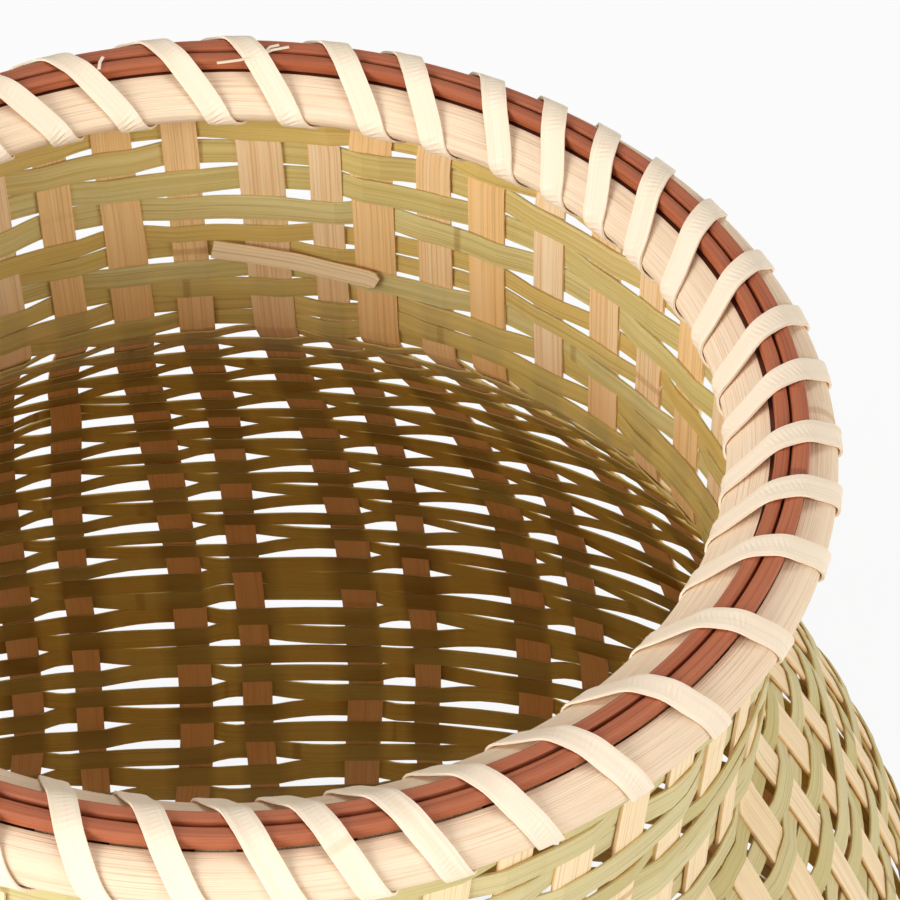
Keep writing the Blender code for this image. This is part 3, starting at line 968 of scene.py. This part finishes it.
def addWeavers():
    top = distanceAtHeight(weaverSizes["topRowHeight"])
    firstRow = 0
    for name, (rows, pitch, width, outside, phase, slips) in weaverBands.items():
        middle = top - rows * pitch / 2
        halfWidth = halfWidthAt(profileAt(lookUp(middle, stationLine))[1])
        piece = runTree(weaverTree, f"weavers_{name}", weaverSizes | {
            "Wall": wallGuide,
            "Rows": rows,
            "First Row": firstRow,
            "Top Distance": top,
            "Row Pitch": pitch,
            "Strip Width": width,
            "Outside Stakes": outside,
            "Phase": phase,
            "Slips": slips,
            "Bunching": weaverSizes["bunching"] if outside == 1 else 0.0,
            "Column Length": 2 * pi / stakes * halfWidth,
            "Gap End": 1 - weaverSizes["Stake Half"],
            "Material": weaverBamboo,
        })
        finishPiece(piece, "weaver", *nodesOfBand(name))
        firstRow += rows
        top -= rows * pitch
    print("rows", firstRow, "lowest at", round(top, 4), "from the middle of the base")


addWeavers()
print("weavers made")


# Hoops and strands

hoopSizes = {
    "innerThickness": 0.0070,
    "outerThickness": 0.0052,
    "fullness": 0.9,
    "innerUpperFullness": 1.6,
    "wobble": 0.00018,
    "stepsRound": 256,
}
strandSizes = {
    "inner": 0.0024,
    "outer": 0.0029,
    "tall": 0.0026,
    "fullness": 0.5,
    "wobble": 0.00015,
    "outward": 0.0001,
    "closing": 0.0004,
}


def strandRadius(name):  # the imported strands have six-sided sections, the inner one keeps off its hoop
    low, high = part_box(name)
    outward = strandSizes["outward"] if name == "inner_strand" else 0
    return high.x - (high.z - low.z) / sqrt(3) + outward


def hoopBack(name):  # the radius of a hoop's flat back
    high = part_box(name)[1].x
    return high if name == "inner_hoop" else high - hoopSizes["outerThickness"]


def addRing(tree, name, ending, slot, material, values):
    low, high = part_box(name)
    shared = {"Level": (low.z + high.z) / 2, "Steps Round": hoopSizes["stepsRound"], "Material": material}
    finishPiece(runTree(tree, f"{name}_{ending}", shared | values), slot, name)


def addHoops():
    thicknesses = {"inner_hoop": -hoopSizes["innerThickness"], "outer_hoop": hoopSizes["outerThickness"]}
    for number, (name, thickness) in enumerate(thicknesses.items()):
        upper = "innerUpperFullness" if name == "inner_hoop" else "fullness"
        low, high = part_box(name)
        addRing(hoopTree, name, "bamboo", "hoop", hoopBamboo, {
            "Radius": hoopBack(name),
            "Thickness": thickness,
            "Height": high.z - low.z,
            "Fullness": hoopSizes["fullness"],
            "Upper Fullness": hoopSizes[upper],
            "Wobble": hoopSizes["wobble"],
            "Seed": number + 1,
        })
    for number, name in enumerate(("inner_strand", "outer_strand")):
        addRing(strandTree, name, "reed", "strand", brownReed, {
            "Radius": strandRadius(name),
            "Thickness": strandSizes[name.partition("_")[0]],
            "Height": strandSizes["tall"],
            "Fullness": strandSizes["fullness"],
            "Upper Fullness": strandSizes["fullness"],
            "Wobble": strandSizes["wobble"],
            "Closing": strandSizes["closing"] if name == "inner_strand" else 0.0,
            "Seed": number + 4,
        })


addHoops()
print("hoops and strands made")


# Lashing: one flat strip wound round hoops and strands, its turns placed as the photograph shows

lashSizes = {
    "turns": 41,
    "width": 0.0045,
    "narrow": 0.0040,
    "widening": 5,
    "thickness": 0.0006,
    "rest": 0.0006,
    "faceSteps": 16,
    "pathSteps": 56,
    "rounding": 4,
    "sharpest": 0.5,
    "topInset": 0.003,
    "innerAdvance": (6.5, 9.3),
    "outerAdvance": (6.2, 7.6),
    "unevenDegrees": 0.8,
}
shownCrossings = (  # pixels where the strip crosses the brown strands, from near left round to far left
    (64, 812), (153, 825), (244, 826), (318, 820), (397, 810), (485, 783), (575, 743), (655, 690),
    (721, 621), (766, 548), (785, 490), (790, 437), (786, 377), (770, 325), (740, 272), (700, 222),
    (654, 181), (605, 146), (552, 120), (491, 95), (410, 74), (340, 61), (247, 53), (166, 55), (68, 65),
)


def hoopFace(name, thickness, upper):  # a half-round section from its bottom corner to its top corner
    points = []
    low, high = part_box(name)
    steps = lashSizes["faceSteps"]
    half = (high.z - low.z) / 2
    for i in range(steps + 1):
        angle = mix(-pi / 2, pi / 2, i / steps)
        fullness = hoopSizes[upper if angle > 0 else "fullness"]
        out = thickness * abs(cos(angle)) ** fullness
        rise = half * abs(sin(angle)) ** fullness
        points.append(Vector((hoopBack(name) + out, rimTop - half + (rise if angle > 0 else -rise))))
    return points


def outset(section, distance):  # the closed section grown outwards
    grown = []
    for i, point in enumerate(section):
        before = (point - section[i - 1]).normalized()
        after = (section[(i + 1) % len(section)] - point).normalized()
        corner = (before + after).normalized()
        reach = distance / max(corner.dot(before), lashSizes["sharpest"])
        grown.append(point + Vector((-corner.y, corner.x)) * reach)
    return grown


def smoothed(points, times):  # rounds a line off and keeps its ends
    for _ in range(times):
        middles = [(a + b * 2 + c) / 4 for a, b, c in zip(points, points[1:], points[2:])]
        points = [points[0], *middles, points[-1]]
    return points


def resample(points, count):  # a smooth open line through the points' corners, cut into even steps
    lengths = [0.0]
    for before, after in zip(points, points[1:]):
        lengths.append(lengths[-1] + (after - before).length)
    even = []
    for i in range(count + 1):
        wanted = lengths[-1] * i / count
        k = min(sum(length < wanted for length in lengths[1:]), len(points) - 2)
        even.append(points[k].lerp(points[k + 1], (wanted - lengths[k]) / (lengths[k + 1] - lengths[k])))
    return smoothed(even, lashSizes["rounding"])


def taut(points):  # leaves out the points over which a tight strip passes
    kept = []
    for point in points:
        while len(kept) > 1 and (kept[-1] - kept[-2]).cross(point - kept[-1]) >= 0:
            kept.pop()
        kept.append(point)
    return kept


def signedRoot(value):
    return copysign(abs(value) ** strandSizes["fullness"], value)


def strandShoulders():  # the upper corners and tops of both strands' sections
    points = []
    for name in ("inner_strand", "outer_strand"):
        low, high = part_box(name)
        for turn in (135, 90, 45):
            out = signedRoot(cos(radians(turn))) * strandSizes[name.partition("_")[0]] / 2
            rise = signedRoot(sin(radians(turn))) * strandSizes["tall"] / 2
            points.append(Vector((strandRadius(name) + out, (low.z + high.z) / 2 + rise)))
    return points


def lashSection():
    inner = hoopFace("inner_hoop", -hoopSizes["innerThickness"], "innerUpperFullness")
    outer = hoopFace("outer_hoop", hoopSizes["outerThickness"], "fullness")
    around = taut(inner + strandShoulders() + outer[::-1])
    return outset(resample(around, lashSizes["pathSteps"]), lashSizes["rest"])


def sightThrough(x, y):  # the camera's place and the direction in which it sees a pixel
    middle = photoView["framePixels"] / 2
    focal = photoView["focalPixels"]
    across = Vector(((x - middle) / focal, (middle - y) / focal, -1))
    return camera.matrix_world.translation, camera.matrix_world.to_3x3() @ across


def spotAtLevel(x, y, level):  # where a pixel's line of sight meets a height
    place, sight = sightThrough(x, y)
    return place + sight * ((level - place.z) / sight.z)


def turnAtPixel(x, y):  # degrees round the rim where a pixel shows the strands' top
    spot = spotAtLevel(x, y, strandTop)
    return degrees(atan2(spot.y, spot.x))


def lashTurns():  # the top crossing of every turn, in degrees
    crossings = []
    for pixel in shownCrossings:
        turn = turnAtPixel(*pixel)
        while crossings and turn < crossings[-1]:
            turn += 360
        crossings.append(turn)
    shown = len(crossings)
    chance = Random(5)
    for i in range(shown, lashSizes["turns"]):
        share = (i - shown + 1) / (lashSizes["turns"] - shown + 1)
        even = mix(crossings[shown - 1], crossings[0] + 360, share)
        crossings.append(even + chance.uniform(-1, 1) * lashSizes["unevenDegrees"])
    return crossings


def advanceAt(label, turn):  # degrees between a crossing and the strip's foot, from the near to the far side
    near, far = lashSizes[label]
    return mix(near, far, (1 + sin(radians(turn))) / 2)


def addLashing():
    section = lashSection()
    middle = mouthRadius - lashSizes["topInset"]
    top = max(range(len(section)), key=lambda i: (section[i].y > strandTop, -abs(section[i].x - middle)))
    last = len(section) - 1
    centres, wides = [], []
    for here in lashTurns():
        start = here - advanceAt("innerAdvance", here)
        end = here + advanceAt("outerAdvance", here)
        for i, spot in enumerate(section):
            turn = mix(start, here, i / top) if i < top else mix(here, end, (i - top) / (last - top))
            centres.append(Vector((spot.x * cos(radians(turn)), spot.x * sin(radians(turn)), spot.y)))
            share = ease(min(i, last - i) / last * lashSizes["widening"])
            wides.append(mix(lashSizes["narrow"], lashSizes["width"], share))
    sideways = []
    for i, centre in enumerate(centres):
        forward = (centres[min(i + 1, len(centres) - 1)] - centres[max(i - 1, 0)]).normalized()
        tangent = Vector((-centre.y, centre.x, 0)).normalized()
        sideways.append((tangent - forward * tangent.dot(forward)).normalized())
    strip = stripOnPath("rim_lashing_strip", centres, wides, sideways, lashSizes["thickness"], lashingBamboo)
    finishPiece(strip, "lashing", "rim_lashing")


def stripOnPath(name, centres, wides, sideways, thickness, material):
    facings, along = [], [0.0]
    for i, centre in enumerate(centres):
        before, after = centres[max(i - 1, 0)], centres[min(i + 1, len(centres) - 1)]
        facings.append((after - before).cross(sideways[i]).normalized())
        if i:
            along.append(along[-1] + (centre - centres[i - 1]).length)
    mesh = bpy.data.meshes.new("path")
    mesh.from_pydata(centres, [(i, i + 1) for i in range(len(centres) - 1)], [])
    values = {"sideways": sideways, "facing": facings, "wide": wides, "along": along}
    for label, numbers in values.items():
        putOnMesh(mesh, label, numbers)
    guide = addObject(name + "_path", mesh)
    piece = runTree(pathTree, name, {
        "Path": guide,
        "Path Points": len(centres),
        "Thickness": thickness,
        "Seed": len(centres),
        "Material": material,
    })
    bpy.data.objects.remove(guide)
    return piece


addLashing()
print("lashing made")


# A weaver's loose end that lies across the neck's far side

looseEnd = {
    "pixels": ((212, 242), (250, 247), (300, 255), (345, 266), (372, 272), (381, 277)),
    "wide": 0.0040,
    "tip": 0.0026,
    "tipSteps": 4,
    "thickness": 0.0006,
    "stand": 0.0021,
    "steps": 8,
    "rounding": 4,
}


def onInnerWall(x, y):  # where a pixel's line of sight meets the wall, and the way into the basket there
    place, sight = sightThrough(x, y)
    _, spot, facing, _ = wallGuide.ray_cast(place, sight.normalized())
    return spot, facing if facing.dot(sight) < 0 else -facing


def addLooseEnd():
    bpy.context.view_layer.update()
    corners = [onInnerWall(*pixel) for pixel in looseEnd["pixels"]]
    centres, inwards = [], []
    for (a, inA), (b, inB) in zip(corners, corners[1:]):
        for i in range(looseEnd["steps"]):
            share = i / looseEnd["steps"]
            centres.append(a.lerp(b, share))
            inwards.append(inA.lerp(inB, share).normalized())
    centres = smoothed(centres, looseEnd["rounding"])
    last = len(centres) - 1
    tipSteps = looseEnd["tipSteps"]
    wides = [mix(looseEnd["tip"], looseEnd["wide"], min((last - i) / tipSteps, 1)) for i in range(last + 1)]
    sideways = []
    for i, inward in enumerate(inwards):
        forward = centres[min(i + 1, last)] - centres[max(i - 1, 0)]
        sideways.append(inward.cross(forward).normalized())
    centres = [centre + inward * looseEnd["stand"] for centre, inward in zip(centres, inwards)]
    piece = stripOnPath("loose_weaver_end", centres, wides, sideways, looseEnd["thickness"], stakeBamboo)
    finishPiece(piece, "weaver")


addLooseEnd()
print("loose end made")


# Split fibres of the lashing that lie on the far strands

splitFibres = {
    "pixels": (
        ((217, 63), (240, 60), (262, 55), (272, 50), (289, 47)),
        ((262, 55), (270, 47), (279, 45)),
        ((99, 69), (100, 62), (103, 57)),
    ),
    "wide": 0.0006,
    "thickness": 0.0002,
    "above": 0.0004,
}


def addSplitFibres():
    level = strandTop + splitFibres["above"]
    for number, pixels in enumerate(splitFibres["pixels"]):
        spots = [spotAtLevel(*pixel, level) for pixel in pixels]
        up = Vector((0, 0, 1))
        sideways = [up.cross(b - a).normalized() for a, b in zip(spots, spots[1:])]
        sideways.append(sideways[-1])
        wides = [splitFibres["wide"]] * len(spots)
        name = f"split_fibre_{number + 1}"
        piece = stripOnPath(name, spots, wides, sideways, splitFibres["thickness"], lashingBamboo)
        finishPiece(piece, "lashing")


addSplitFibres()
print("split fibres made")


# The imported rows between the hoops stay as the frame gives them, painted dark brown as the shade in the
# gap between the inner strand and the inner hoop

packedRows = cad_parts["rim_weave"].data.materials
packedRows.clear()
packedRows.append(bambooMaterial("packedShadeBamboo", packedShadeLook, mouthRadius))
bpy.data.objects.remove(wallGuide)


# Floor and light

studio = {
    "floorSize": 6.0,
    "floor": (250, 250, 249),
    "floorRoughness": 0.9,
    "floorGlow": 0.88,
    "worldStrength": 0.26,
    "aim": (0.0, 0.0, 0.15),
}
lamps = {  # degrees round from +X, degrees up, metres away, metres across, watts
    "frontLeft": (-142, 23, 1.8, 1.1, 29),
    "right": (-35, 22, 1.8, 1.0, 14),
    "overhead": (60, 76, 1.6, 0.7, 5),
}


def onlySeen(tree):  # 1 for rays that show the background: from the camera, off gloss or through glass
    path = tree.nodes.new("ShaderNodeLightPath").outputs
    both = mathNode(tree, "MAXIMUM", path["Is Camera Ray"], path["Is Glossy Ray"])
    return mathNode(tree, "MAXIMUM", both, path["Is Transmission Ray"])


def addFloor():
    half = studio["floorSize"] / 2
    mesh = bpy.data.meshes.new("floor")
    corners = [(-half, -half, 0), (half, -half, 0), (half, half, 0), (-half, half, 0)]
    mesh.from_pydata(corners, [], [(0, 1, 2, 3)])
    material = bpy.data.materials.new("paleFloor")
    material.use_nodes = True
    tree = material.node_tree
    shader = tree.nodes["Principled BSDF"]
    shader.inputs["Base Color"].default_value = screenColour(*studio["floor"])
    shader.inputs["Roughness"].default_value = studio["floorRoughness"]
    glow = addNode(tree, "ShaderNodeEmission", {"Color": (1.0, 1.0, 1.0, 1.0), "Strength": 1.0})
    share = onlySeen(tree) * studio["floorGlow"]
    mixed = addNode(tree, "ShaderNodeMixShader", {0: share, 1: shader.outputs[0], 2: glow.outputs[0]})
    feed(tree, mixed.outputs[0], tree.nodes["Material Output"].inputs["Surface"])
    mesh.materials.append(material)
    floor = addObject("floor", mesh)


def addLamps():
    aim = Vector(studio["aim"])
    for name, (turn, rise, away, across, watts) in lamps.items():
        data = bpy.data.lights.new(name, "AREA")
        data.shape = "DISK"
        data.size = across
        data.energy = watts
        lamp = addObject(name, data)
        turn, rise = radians(turn), radians(rise)
        lamp.location = aim + Vector((cos(turn) * cos(rise), sin(turn) * cos(rise), sin(rise))) * away
        lamp.rotation_euler = (aim - lamp.location).to_track_quat("-Z", "Y").to_euler()


def addWorld():
    world = bpy.data.worlds.new("softStudio")
    world.use_nodes = True
    tree = world.node_tree
    background = tree.nodes["Background"]
    background.inputs["Color"].default_value = (1.0, 1.0, 1.0, 1.0)
    lit = studio["worldStrength"]
    feed(tree, onlySeen(tree) * (1 - lit) + lit, background.inputs["Strength"])
    bpy.context.scene.world = world


def addStudio():
    addFloor()
    addLamps()
    addWorld()
    bpy.context.scene.view_settings.view_transform = "Standard"


addStudio()
print("studio made")
